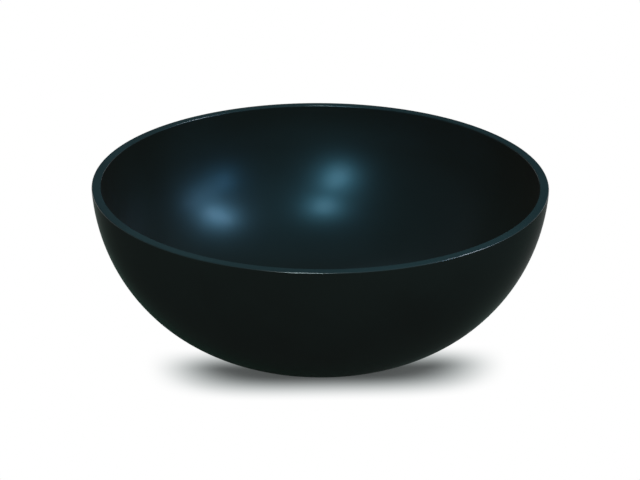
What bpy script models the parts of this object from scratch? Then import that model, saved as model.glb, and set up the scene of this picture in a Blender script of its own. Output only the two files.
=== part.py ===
"""Round serving bowl: a moulded one-piece shell with a soft non-slip ring let into its foot.

Metres, +Z up. The origin is on the bowl's axis, in the plane of the table that it stands on.
"""

import math

import bmesh
import bpy
from mathutils import Vector

# Driving dimensions
RIM_DIAMETER = 0.250  # outside, at the rim
BOWL_HEIGHT = 0.096  # table to rim
WALL = 0.005  # side wall, rim and floor
RIM_LEAN = math.radians(2.0)  # how far the wall still leans outwards where the rim is cut flat
FLOOR_DIAMETER = 0.068  # flat middle of the floor, where the wall's curve ends
FOOT_DIAMETER = 0.094  # outside of the moulded foot
FOOT_WIDTH = 0.013  # outside of the foot to the recess inside it
FOOT_DROP = 0.001  # foot below the floor's underside
GROOVE_WIDTH = 0.007  # groove in the foot that holds the ring
GROOVE_DEPTH = 0.0018
RING_PROUD = 0.0008  # how far the ring stands out of the foot
RING_CLEARANCE = 0.0003  # between the ring and each wall of its groove
RIM_EDGE = 0.0008  # rounding of the rim's two edges
FOOT_EDGE = 0.0004  # rounding of the foot's edges
FOOT_BLEND = 0.001  # hollow rounding where the wall runs into the foot
RING_EDGE = 0.0005  # rounding of the ring's edges

# Fineness of the turned surfaces
TURN_STEPS = 72
WALL_STEPS = 16
EDGE_STEPS = 2
SHARP_ANGLE = math.radians(50)

# A cubic curve with handles of this share of its sides is a quarter of an ellipse
QUARTER_ROUND = 4 / 3 * (math.sqrt(2) - 1)

# The shell's heights start at its foot's lower face
SHELL_HEIGHT = BOWL_HEIGHT - RING_PROUD
GROOVE_MIDDLE = (FOOT_DIAMETER - FOOT_WIDTH) / 2


def wall_curve(t):
    """Point on the wall's outside, and the way into the wall, from the rim at t = 0 to the floor at 1."""
    rim = Vector((RIM_DIAMETER / 2, SHELL_HEIGHT))
    floor = Vector((FLOOR_DIAMETER / 2, FOOT_DROP))
    side = rim - floor
    below_rim = rim - QUARTER_ROUND * side.y * Vector((math.sin(RIM_LEAN), math.cos(RIM_LEAN)))
    beside_floor = floor + QUARTER_ROUND * Vector((side.x, 0))
    s = 1 - t
    point = s**3 * rim + 3 * s * s * t * below_rim + 3 * s * t * t * beside_floor + t**3 * floor
    along = (
        s * s * (below_rim - rim)
        + 2 * s * t * (beside_floor - below_rim)
        + t * t * (floor - beside_floor)
    )
    inward = Vector((along.y, -along.x)).normalized()
    return point, inward


def place_on_wall(radius):
    """The t where the wall's outside comes in to this radius, or 1 if it stays wider."""
    wider, narrower = 0.0, 1.0
    for _ in range(40):
        middle = (wider + narrower) / 2
        if wall_curve(middle)[0].x > radius:
            wider = middle
        else:
            narrower = middle
    return narrower


def shell_profile():
    """Half section, from the floor over the rim to the underside, as (radius, height, rounding)."""
    profile = [(0, FOOT_DROP + WALL, 0)]
    for step in range(WALL_STEPS, 0, -1):
        point, inward = wall_curve(step / WALL_STEPS)
        profile.append((*(point + WALL * inward), 0))

    rim_radius = RIM_DIAMETER / 2
    profile.append((rim_radius - WALL, SHELL_HEIGHT, RIM_EDGE))
    profile.append((rim_radius, SHELL_HEIGHT, RIM_EDGE))

    foot_radius = FOOT_DIAMETER / 2
    wall_end = place_on_wall(foot_radius)
    for step in range(1, WALL_STEPS):
        profile.append((*wall_curve(wall_end * step / WALL_STEPS)[0], 0))

    outer_lip = GROOVE_MIDDLE + GROOVE_WIDTH / 2
    inner_lip = GROOVE_MIDDLE - GROOVE_WIDTH / 2
    recess_radius = foot_radius - FOOT_WIDTH
    return profile + [
        (foot_radius, wall_curve(wall_end)[0].y, FOOT_BLEND),
        (foot_radius, 0, FOOT_EDGE),
        (outer_lip, 0, FOOT_EDGE),
        (outer_lip, GROOVE_DEPTH, 0),
        (inner_lip, GROOVE_DEPTH, 0),
        (inner_lip, 0, FOOT_EDGE),
        (recess_radius, 0, FOOT_EDGE),
        (recess_radius, FOOT_DROP, FOOT_EDGE),
        (0, FOOT_DROP, 0),
    ]


def ring_profile():
    """Section of the ring, which fills its groove but for the clearance and stands out of the foot."""
    half_width = GROOVE_WIDTH / 2 - RING_CLEARANCE
    outer, inner = GROOVE_MIDDLE + half_width, GROOVE_MIDDLE - half_width
    top = RING_PROUD + GROOVE_DEPTH - RING_CLEARANCE
    return [
        (GROOVE_MIDDLE, top, 0),
        (outer, top, RING_EDGE),
        (outer, 0, RING_EDGE),
        (inner, 0, RING_EDGE),
        (inner, top, RING_EDGE),
        (GROOVE_MIDDLE, top, 0),
    ]


def rounded(profile):
    """The profile's points, with each corner that has a rounding made an arc that meets both sides."""
    points = []
    for place, (radius, height, rounding) in enumerate(profile):
        corner = Vector((radius, height))
        if not rounding:
            points.append(corner)
            continue
        back = Vector(profile[place - 1][:2]) - corner
        ahead = Vector(profile[place + 1][:2]) - corner
        half_angle = back.angle(ahead) / 2
        # The arc takes up at most half of the shorter side
        reach = min(rounding / math.tan(half_angle), back.length / 2, ahead.length / 2)
        back.normalize()
        ahead.normalize()
        centre = corner + (back + ahead).normalized() * reach / math.cos(half_angle)
        first = (corner + reach * back - centre).normalized()
        last = (corner + reach * ahead - centre).normalized()
        for step in range(EDGE_STEPS + 1):
            points.append(centre + reach * math.tan(half_angle) * first.slerp(last, step / EDGE_STEPS))
    return points


def turned(name, profile, material):
    """An object turned about the Z axis from a profile that runs down its outer side."""
    shape = bmesh.new()
    verts = [shape.verts.new((point.x, 0, point.y)) for point in rounded(profile)]
    edges = [shape.edges.new(pair) for pair in zip(verts, verts[1:])]
    bmesh.ops.spin(
        shape,
        geom=verts + edges,
        cent=(0, 0, 0),
        axis=(0, 0, 1),
        angle=2 * math.pi,
        steps=TURN_STEPS,
        use_merge=True,
    )
    bmesh.ops.remove_doubles(shape, verts=shape.verts, dist=1e-6)
    bmesh.ops.recalc_face_normals(shape, faces=shape.faces)
    mesh = bpy.data.meshes.new(name)
    shape.to_mesh(mesh)
    shape.free()
    mesh.shade_smooth()
    mesh.set_sharp_from_angle(angle=SHARP_ANGLE)
    mesh.materials.append(material)
    obj = bpy.data.objects.new(name, mesh)
    bpy.context.scene.collection.objects.link(obj)
    return obj


def finish(name, colour, roughness):
    """A plain non-metal surface."""
    material = bpy.data.materials.new(name)
    material.use_nodes = True
    surface = material.node_tree.nodes["Principled BSDF"]
    surface.inputs["Base Color"].default_value = (*colour, 1)
    surface.inputs["Roughness"].default_value = roughness
    surface.inputs["Metallic"].default_value = 0
    return material


def main():
    for obj in list(bpy.data.objects):
        bpy.data.objects.remove(obj)

    bowl = bpy.data.objects.new("serving_bowl", None)
    bpy.context.scene.collection.objects.link(bowl)

    satin_black = finish("satin_black", (0.0065, 0.0085, 0.0082), 0.4)
    shell = turned("bowl_shell", shell_profile(), satin_black)
    shell.location.z = RING_PROUD
    shell.parent = bowl

    soft_black = finish("soft_black", (0.012, 0.012, 0.012), 0.8)
    ring = turned("non_slip_ring", ring_profile(), soft_black)
    ring.parent = bowl


main()
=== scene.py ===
import math

import bmesh
import bpy
from mathutils import Matrix, Vector
from mathutils.geometry import interpolate_bezier


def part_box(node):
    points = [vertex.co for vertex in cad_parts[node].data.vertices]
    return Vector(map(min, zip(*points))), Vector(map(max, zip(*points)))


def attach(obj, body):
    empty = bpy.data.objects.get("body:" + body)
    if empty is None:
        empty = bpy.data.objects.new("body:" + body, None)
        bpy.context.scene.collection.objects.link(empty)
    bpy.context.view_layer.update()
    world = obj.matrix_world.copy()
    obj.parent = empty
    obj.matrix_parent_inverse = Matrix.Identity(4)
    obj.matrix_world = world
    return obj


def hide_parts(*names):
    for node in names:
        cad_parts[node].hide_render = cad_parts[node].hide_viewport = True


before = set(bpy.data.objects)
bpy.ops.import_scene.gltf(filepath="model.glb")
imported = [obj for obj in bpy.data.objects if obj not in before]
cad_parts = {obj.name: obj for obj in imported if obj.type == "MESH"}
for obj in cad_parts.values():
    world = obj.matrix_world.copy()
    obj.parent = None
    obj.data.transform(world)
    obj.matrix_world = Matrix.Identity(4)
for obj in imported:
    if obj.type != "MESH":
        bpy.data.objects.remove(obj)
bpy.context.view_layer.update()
print("frame loaded:", sorted(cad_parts))


# shader maths
class Wire:
    def __init__(self, tree, socket=None):
        self.tree = tree
        self.socket = socket

    def add(self, kind, settings=None, sockets=None, out=0):  # any node: its type, settings, then sockets
        node = self.tree.nodes.new("ShaderNode" + kind)
        for name, value in (settings or {}).items():
            setattr(node, name, value)
        for name, value in (sockets or {}).items():
            if isinstance(value, Wire):
                self.tree.links.new(value.socket, node.inputs[name])
            else:
                node.inputs[name].default_value = value
        return Wire(self.tree, node.outputs[out] if len(node.outputs) else None)

    def maths(self, operation, first, second):
        return self.add("Math", {"operation": operation}, {0: first, 1: second})

    def __add__(self, other):
        return self.maths("ADD", self, other)

    def __sub__(self, other):
        return self.maths("SUBTRACT", self, other)

    def __rsub__(self, other):
        return self.maths("SUBTRACT", other, self)

    def __mul__(self, other):
        return self.maths("MULTIPLY", self, other)

    def __pow__(self, other):
        return self.maths("POWER", self, other)

    __radd__ = __add__
    __rmul__ = __mul__

    def ease(self, low, high):  # 0 below low, 1 above high, soft between
        limits = {"Value": self, "From Min": low, "From Max": high}
        return self.add("MapRange", {"interpolation_type": "SMOOTHSTEP"}, limits)

    def distanceTo(self, point):
        return self.add("VectorMath", {"operation": "DISTANCE"}, {0: self, 1: point}, out="Value")


plainWhite = (1, 1, 1)
noiseRoughness = 0.55
noiseMean = 0.5


def newMaterial(name):
    material = bpy.data.materials.new(name)
    material.use_nodes = True
    material.node_tree.nodes.clear()
    return material, Wire(material.node_tree)


def opaque(colour):
    return (*colour, 1)


def noise(shader, place, size, detail=3):  # size of one feature, metres
    sockets = {"Vector": place, "Scale": 1 / size, "Detail": detail, "Roughness": noiseRoughness}
    return shader.add("TexNoise", {"noise_dimensions": "3D"}, sockets)


def mixColour(shader, factor, first, second):
    sockets = {"Factor": factor, 6: opaque(first), 7: opaque(second)}  # 6, 7 and 2 are its colour sockets
    return shader.add("Mix", {"data_type": "RGBA"}, sockets, out=2)


def bumped(shader, height, strength, depth):
    return shader.add("Bump", {}, {"Strength": strength, "Distance": depth, "Height": height})


# turned pieces
lathe = {
    "roundingSteps": 10,
    "mergeDistance": 1e-6,
}


def outerRadius(node):
    return max(vert.co.xy.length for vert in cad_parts[node].data.vertices)


def turned(name, outline, roundings, steps, materials):  # points of the outline are radius and height
    bm = bmesh.new()
    verts = [bm.verts.new((radius, 0, height)) for radius, height in outline]
    for pair in zip(verts, verts[1:]):
        bm.edges.new(pair)
    for (radius, height), rounding in roundings.items():
        corner = min(bm.verts, key=lambda vert: (vert.co - Vector((radius, 0, height))).length)
        bmesh.ops.bevel(
            bm,
            geom=[corner],
            offset=rounding,
            segments=lathe["roundingSteps"],
            profile=0.5,
            affect="VERTICES",
            material=-1,
        )
    bmesh.ops.spin(
        bm,
        geom=list(bm.verts) + list(bm.edges),
        cent=(0, 0, 0),
        axis=(0, 0, 1),
        angle=2 * math.pi,
        steps=steps,
        use_merge=True,
    )
    bmesh.ops.remove_doubles(bm, verts=bm.verts, dist=lathe["mergeDistance"])
    bmesh.ops.recalc_face_normals(bm, faces=bm.faces)
    mesh = bpy.data.meshes.new(name)
    bm.to_mesh(mesh)
    bm.free()
    mesh.shade_smooth()
    for material in materials:
        mesh.materials.append(material)
    piece = bpy.data.objects.new(name, mesh)
    bpy.context.scene.collection.objects.link(piece)
    return piece


def flattenShading(piece):  # large flat faces keep their own normals beside small roundings
    weighting = piece.modifiers.new("flat faces", "WEIGHTED_NORMAL")
    weighting.keep_sharp = True


# camera
view = {
    "distance": 1.0,  # from the eye to the point looked at
    "elevation": math.radians(23.664),
    "roll": math.radians(0.335),
    "lookAt": Vector((0, 0, 0.05878)),
    "lens": 100.86,  # mm
    "sensor": 36,  # mm, along the picture's wider side
}


def makeCamera():
    tilt, roll = view["elevation"], view["roll"]
    back = Vector((0, -math.cos(tilt), math.sin(tilt)))
    level = Vector((1, 0, 0))
    rise = back.cross(level)
    right = math.cos(roll) * level + math.sin(roll) * rise
    up = math.cos(roll) * rise - math.sin(roll) * level
    lens = bpy.data.cameras.new("camera")
    lens.lens = view["lens"]
    lens.sensor_width = view["sensor"]
    camera = bpy.data.objects.new("camera", lens)
    bpy.context.scene.collection.objects.link(camera)
    facing = Matrix((right, up, back)).transposed().to_4x4()
    camera.matrix_world = Matrix.Translation(view["lookAt"] + view["distance"] * back) @ facing
    bpy.context.scene.camera = camera


makeCamera()
print("camera placed")


# bowl
shellLow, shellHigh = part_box("bowl_shell")
bowl = {
    "rimRadius": outerRadius("bowl_shell"),
    "rimHeight": shellHigh.z,
    "footHeight": shellLow.z,
    "wall": 0.005,
    "rimLean": math.radians(2),  # the wall still leans outwards at the rim
    "floorRadius": 0.034,
    "footRadius": 0.047,
    "footWidth": 0.013,
    "footDrop": 0.001,  # foot below the floor's underside
    "grooveWidth": 0.007,
    "grooveDepth": 0.0018,
    "rimRounding": 0.0008,
    "outerCrown": (0.47, 0.76),  # upward lean of the rim edges' polished crowns
    "innerCrown": (0.5, 0.66),
    "insideRise": 0.01,  # an inside face leans up by more than this
    "insideSlack": 1e-6,  # and outwards by less than this, so that the level floor counts
    "footRounding": 0.0004,
    "footBlend": 0.001,  # hollow rounding where the wall runs into the foot
    "footClear": 0.002,  # the wall's own curve ends at least this far from the foot
    "turnSteps": 240,
    "wallPoints": 40,
}
finishes = {
    "inside_satin": {
        "colour": (0.0013, 0.0044, 0.0039),
        "paintedGlow": (0.0034, 0.0027, 0.002),  # an even painted glow, though the bowl is no lamp, for blacks as light as the photo's
        "roughness": 0.305,
        "gloss": 0.33,
        "tint": (0.185, 0.68, 1),
        "sheen": 0,
        "coat": 0.014,
        "grain": 0.04,
    },
    "outside_matt": {
        "colour": (0.0033, 0.007, 0.0064),
        # an even painted glow here too, though the bowl is no lamp
        "paintedGlow": (0.0037, 0.0034, 0.0032),
        "roughness": 0.3,
        "gloss": 0.0013,
        "tint": plainWhite,
        "sheen": 0.038,
        "coat": 0,
        "grain": 0.04,
    },
    "rim_top_painted_reflection": {
        # the rim's flat top: its paler teal colour is a painted reflection of the light falling on it
        "colour": (0.0088, 0.0215, 0.0245),
        "paintedGlow": (0, 0, 0),
        "roughness": 0.45,
        "gloss": 0.003,
        "tint": plainWhite,
        "sheen": 0,
        "coat": 0,
        "grain": 0.04,
    },
    "polished_edge": {
        "colour": (0.007, 0.016, 0.018),
        "paintedGlow": (0, 0, 0),
        "roughness": 0.21,
        "gloss": 0.45,
        "tint": (0.78, 0.97, 1),
        "sheen": 0,
        "coat": 0,
        "grain": 0,
    },
}
moulding = {  # what the finishes share
    "cloudSize": 0.05,
    "cloudEdges": (0.35, 0.65),  # noise values between which the colour turns paler
    "paler": 1.2,
    "roughnessSpread": 0.04,
    "grainSize": 0.0004,
    "grainDetail": 2,
    "grainDepth": 0.0001,
    "sheenColour": (0.1, 1, 0.6),  # of the outside's faint edge
    "sheenRoughness": 0.25,
    "coatRoughness": 0.18,
}
quarterRound = 4 / 3 * (math.sqrt(2) - 1)  # handles of this share make a quarter of an ellipse


def wallCurve(rimRadius, floorHeight):
    lean = bowl["rimLean"]
    rim = Vector((rimRadius, bowl["rimHeight"]))
    bottom = Vector((bowl["floorRadius"], floorHeight))
    side = rim - bottom
    underRim = rim - quarterRound * side.y * Vector((math.sin(lean), math.cos(lean)))
    besideBottom = bottom + quarterRound * Vector((side.x, 0))
    points = interpolate_bezier(rim, underRim, besideBottom, bottom, bowl["wallPoints"])
    return [tuple(point) for point in points]


def moulded(name, finish):
    material, shader = newMaterial(name)
    place = shader.add("TexCoord", out="Object")
    cloud = noise(shader, place, moulding["cloudSize"])
    grain = noise(shader, place, moulding["grainSize"], moulding["grainDetail"])
    deep = finish["colour"]
    pale = [moulding["paler"] * value for value in deep]
    surface = shader.add("BsdfPrincipled", {}, {
        "Base Color": mixColour(shader, cloud.ease(*moulding["cloudEdges"]), deep, pale),
        "Roughness": finish["roughness"] + moulding["roughnessSpread"] * (cloud - noiseMean),
        "Specular IOR Level": finish["gloss"],
        "Specular Tint": opaque(finish["tint"]),
        "Sheen Weight": finish["sheen"],
        "Sheen Roughness": moulding["sheenRoughness"],
        "Sheen Tint": opaque(moulding["sheenColour"]),
        "Coat Weight": finish["coat"],
        "Coat Roughness": moulding["coatRoughness"],
        # painted glow: an even emission that lightens the dark finishes, though the bowl is no lamp
        "Emission Color": opaque(finish["paintedGlow"]),
        "Emission Strength": 1,
        "Normal": bumped(shader, grain, finish["grain"], moulding["grainDepth"]),
    })
    shader.add("OutputMaterial", {}, {"Surface": surface})
    return material


def finishFaces(piece):  # the inside faces up and inwards, and the rim's edges are polished on their crowns
    slots = list(finishes)
    for face in piece.data.polygons:
        rise, outwards = face.normal.z, face.normal.xy.dot(face.center.xy)
        facesIn = rise > bowl["insideRise"] and outwards < bowl["insideSlack"]
        finish = "inside_satin" if facesIn else "outside_matt"
        crownStart, crownEnd = bowl["innerCrown" if facesIn else "outerCrown"]
        if face.center.z > bowl["rimHeight"] - bowl["rimRounding"] and rise > crownStart:
            # the faces that lean up most on the rim's top take the painted reflection, the rest of the
            # crowns the polished edge
            finish = "rim_top_painted_reflection" if rise > crownEnd else "polished_edge"
        face.material_index = slots.index(finish)


def makeBowl():
    rimRadius, rimHeight, wall = bowl["rimRadius"], bowl["rimHeight"], bowl["wall"]
    foot, under = bowl["footHeight"], bowl["footHeight"] + bowl["footDrop"]
    footOut, footIn = bowl["footRadius"], bowl["footRadius"] - bowl["footWidth"]
    inside, curve = wallCurve(rimRadius - wall, under + wall), wallCurve(rimRadius, under)
    outside = [point for point in curve if point[0] > footOut + bowl["footClear"]]
    over, below = outside[-1], next(point for point in curve if point[0] < footOut)
    footTop = (footOut, below[1] + (over[1] - below[1]) * (footOut - below[0]) / (over[0] - below[0]))
    middle = (footOut + footIn) / 2
    lipOut, lipIn = middle + bowl["grooveWidth"] / 2, middle - bowl["grooveWidth"] / 2
    groove = foot + bowl["grooveDepth"]
    outline = [(0, under + wall), *reversed(inside), *outside]
    outline += [footTop, (footOut, foot), (lipOut, foot), (lipOut, groove), (lipIn, groove), (lipIn, foot)]
    outline += [(footIn, foot), (footIn, under), (0, under)]
    roundings = {(radius, rimHeight): bowl["rimRounding"] for radius in (rimRadius - wall, rimRadius)}
    roundings[footTop] = bowl["footBlend"]
    for radius in (footOut, lipOut, lipIn, footIn):
        roundings[(radius, foot)] = bowl["footRounding"]
    materials = [moulded(name, finish) for name, finish in finishes.items()]
    piece = turned("bowl", outline, roundings, bowl["turnSteps"], materials)
    finishFaces(piece)
    flattenShading(piece)
    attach(piece, "root")
    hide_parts("bowl_shell")


makeBowl()
print("bowl turned")


# ring under the foot
ringLow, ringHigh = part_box("non_slip_ring")
ring = {
    "outer": outerRadius("non_slip_ring"),
    "inner": 0.0373,
    "rounding": 0.0005,
    "turnSteps": 180,
    "black": (0.012, 0.012, 0.012),
    "grey": (0.02, 0.02, 0.02),
    "speckSize": 0.0006,
    "speckEdges": (0.5, 0.7),  # noise values between which the specks turn grey
    "speckShare": 0.5,  # of grey at most
    "speckBump": 0.2,
    "speckDepth": 0.0001,
    "roughness": 0.75,
    "roughnessSpread": 0.1,
    "gloss": 0.3,
}


def softRubber():
    material, shader = newMaterial("soft_rubber")
    place = shader.add("TexCoord", out="Object")
    speck = noise(shader, place, ring["speckSize"])
    greyness = speck.ease(*ring["speckEdges"]) * ring["speckShare"]
    surface = shader.add("BsdfPrincipled", {}, {
        "Base Color": mixColour(shader, greyness, ring["black"], ring["grey"]),
        "Roughness": ring["roughness"] + ring["roughnessSpread"] * (speck - noiseMean),
        "Specular IOR Level": ring["gloss"],
        "Normal": bumped(shader, speck, ring["speckBump"], ring["speckDepth"]),
    })
    shader.add("OutputMaterial", {}, {"Surface": surface})
    return material


def makeRing():
    low, high = ringLow.z, ringHigh.z
    outer, inner = ring["outer"], ring["inner"]
    middle = (outer + inner) / 2
    corners = [(outer, high), (outer, low), (inner, low), (inner, high)]
    outline = [(middle, high), *corners, (middle, high)]
    roundings = dict.fromkeys(corners, ring["rounding"])
    piece = turned("non_slip_band", outline, roundings, ring["turnSteps"], [softRubber()])
    flattenShading(piece)
    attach(piece, "root")
    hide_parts("non_slip_ring")


makeRing()
print("ring turned")


# floor
floor = {
    "radius": 9.0,
    "upstand": 1.1,
    "bend": 0.8,
    "turnSteps": 96,
    "paper": (0.84, 0.9, 0.895),
}
paintedShadowPool = {  # a painted shadow in front of the bowl: inside its mask the lit floor shows with its real shadow, and beyond it the floor is plain white
    "middle": (0.0033, -0.0103),
    "half": (0.0747, 0.0504),
    "turn": 0.041,  # slope of its long sides
    "corners": 4,  # power of its rounded oblong, where 2 is an ellipse
    "fade": (0.79, 1.37),  # in half sizes from its middle
    "back": (-0.0325, -0.0035),  # it thins out towards the back, from here to here
    "least": 0.064,  # painted white glow in the darkest part, which lightens the shadow
    "tone": (0.93, 1, 0.995),  # and that painted glow is a little cool in the half shade
}
behind = {  # and a painted mask for the shadow under the bowl and behind it, on floor that the photo's view doesn't show; inside it the lit floor shows its real shadow
    "middle": 0.0363,  # in front of this it ends in a half circle, and behind it widens
    "edge": (0.071, 0.088),
    "widening": 0.28,
    "core": (0, 0.03, 0),  # it also thins out from here
    "fade": (0.05, 0.13),
}
mirrored = {  # a reflection shows the floor's white only from here on
    "middle": (-0.065, 0, 0),
    "fade": (0.08, 0.27),
}


def paintedShadowMask(shader, place):  # mask of the painted shadow: 0 where the lit floor shows its shadow, 1 where the floor is plain white
    x, y = (shader.add("SeparateXYZ", {}, {0: place}, out=axis) for axis in ("X", "Y"))
    right, back = x - paintedShadowPool["middle"][0], y - paintedShadowPool["middle"][1]
    across = right + back * paintedShadowPool["turn"]
    along = back - right * paintedShadowPool["turn"]
    halfAcross, halfAlong = paintedShadowPool["half"]
    power = paintedShadowPool["corners"]
    oblong = (across * (1 / halfAcross)) ** power + (along * (1 / halfAlong)) ** power
    # painted shadow shape: where this is 0 the lit floor shows its real shadow
    shade = (1 - (oblong ** (1 / power)).ease(*paintedShadowPool["fade"])) * (1 - along.ease(*paintedShadowPool["back"]))
    # painted shadow shape under and behind the bowl
    depth = y - behind["middle"]
    ahead, beyond = shader.maths("MINIMUM", depth, 0), shader.maths("MAXIMUM", depth, 0)
    fromAxis = (x ** 2 + ahead ** 2) ** 0.5 - beyond * behind["widening"]
    fromCore = place.distanceTo(behind["core"])
    under = (1 - fromAxis.ease(*behind["edge"])) * (1 - fromCore.ease(*behind["fade"]))
    return (1 - shade) * (1 - under)


def whitePaper():
    material, shader = newMaterial("white_paper")
    place = shader.add("TexCoord", out="Object")
    camera, glossy, through = (
        shader.add("LightPath", out=f"Is {kind} Ray") for kind in ("Camera", "Glossy", "Transmission")
    )
    clear = paintedShadowMask(shader, place)
    # painted shadow for the camera: the mask, lightened in its darkest part by a painted white glow
    seen = paintedShadowPool["least"] + clear * (1 - paintedShadowPool["least"])
    reflected = place.distanceTo(mirrored["middle"]).ease(*mirrored["fade"])
    share = seen * camera + reflected * (glossy + through)
    lit = shader.add("BsdfDiffuse", {}, {"Color": opaque(floor["paper"])})
    # painted cool shade: a cool glow in the half shadow, mixed towards plain white by the mask
    cool = shader.add("Emission", {}, {"Color": opaque(paintedShadowPool["tone"])})
    white = shader.add("Emission", {}, {"Color": opaque(plainWhite)})
    glow = shader.add("MixShader", {}, {0: clear, 1: cool, 2: white})
    surface = shader.add("MixShader", {}, {0: share, 1: lit, 2: glow})
    shader.add("OutputMaterial", {}, {"Surface": surface})
    return material


def makeFloor():
    radius, bend, upstand = floor["radius"], floor["bend"], floor["upstand"]
    outline = [(0, 0), (radius, 0), (radius, upstand)]
    piece = turned("floor", outline, {(radius, 0): bend}, floor["turnSteps"], [whitePaper()])


makeFloor()
print("floor laid")


# lamps
room = {
    "lampDistance": 1.2,  # from the point that the camera looks at
    "worldLight": 0.22,
}
lamps = {  # degrees: azimuth from the camera's side, + to its right; turn about the lamp's own direction
    "sideCore": {
        "azimuth": 84.8,
        "elevation": 41.3,
        "turn": 20.5,
        "size": (0.12, 0.3),
        "light": 1.06,
        "tone": (1.03, 0.96, 1.06),
        "onFloor": False,
    },
    "sidePanel": {
        "azimuth": 76.5,
        "elevation": 26.3,
        "turn": 0,
        "size": (0.74, 0.12),
        "light": 0.43,
        "tone": (0.88, 0.97, 1.18),
        "onFloor": False,
    },
    "sideWindow": {
        "azimuth": 63,
        "elevation": 25.5,
        "turn": 0,
        "size": (0.08, 0.08),
        "light": 0.095,
        "tone": (0.2, 0.63, 1),
        "onFloor": False,
    },
    "frontLow": {
        "azimuth": -11.65,
        "elevation": 36.4,
        "turn": -20.3,
        "size": (0.16, 0.29),
        "light": 1.14,
        "tone": plainWhite,
        "onFloor": False,
    },
    "frontHigh": {
        "azimuth": -3.6,
        "elevation": 59,
        "turn": 0,
        "size": (0.16, 0.15),
        "light": 0.84,
        "tone": plainWhite,
        "onFloor": True,
    },
    "above": {
        "azimuth": 38.5,
        "elevation": 71.3,
        "turn": -42,
        "size": (1.5, 1.5),
        "light": 0.22,
        "tone": plainWhite,
        "onFloor": True,
    },
    "back": {
        "azimuth": 195,
        "elevation": 42,
        "turn": 0,
        "size": (0.4, 0.4),
        "light": 0.75,
        "tone": plainWhite,
        "onFloor": False,
    },
}


def makeLamp(name, lamp, bowlOnly):
    azimuth, elevation, turn = (math.radians(lamp[part]) for part in ("azimuth", "elevation", "turn"))
    side = Vector((math.cos(azimuth), math.sin(azimuth), 0))
    ahead = Vector((math.sin(azimuth), -math.cos(azimuth), 0))
    away = math.cos(elevation) * ahead + math.sin(elevation) * Vector((0, 0, 1))
    rise = away.cross(side)
    across = math.cos(turn) * side + math.sin(turn) * rise
    along = away.cross(across)
    reach = room["lampDistance"]
    light = bpy.data.lights.new(name, "AREA")
    light.shape = "RECTANGLE"
    light.size, light.size_y = lamp["size"]
    light.color = lamp["tone"]
    light.energy = lamp["light"] * math.pi * reach ** 2  # watts that give this light on the bowl
    piece = bpy.data.objects.new(name, light)
    piece.visible_camera = False
    bpy.context.scene.collection.objects.link(piece)
    facing = Matrix((across, along, away)).transposed().to_4x4()
    piece.matrix_world = Matrix.Translation(view["lookAt"] + reach * away) @ facing
    if not lamp["onFloor"]:
        piece.light_linking.receiver_collection = bowlOnly


def lightRoom():
    bowlOnly = bpy.data.collections.new("bowl only")
    for name in ("bowl", "non_slip_band"):
        bowlOnly.objects.link(bpy.data.objects[name])
    for name, lamp in lamps.items():
        makeLamp(name, lamp, bowlOnly)
    world = bpy.data.worlds.new("room")
    world.use_nodes = True
    background = world.node_tree.nodes["Background"]
    background.inputs["Color"].default_value = opaque(plainWhite)
    background.inputs["Strength"].default_value = room["worldLight"]
    bpy.context.scene.world = world
    bpy.context.scene.view_settings.view_transform = "Standard"


lightRoom()
print("lamps set")
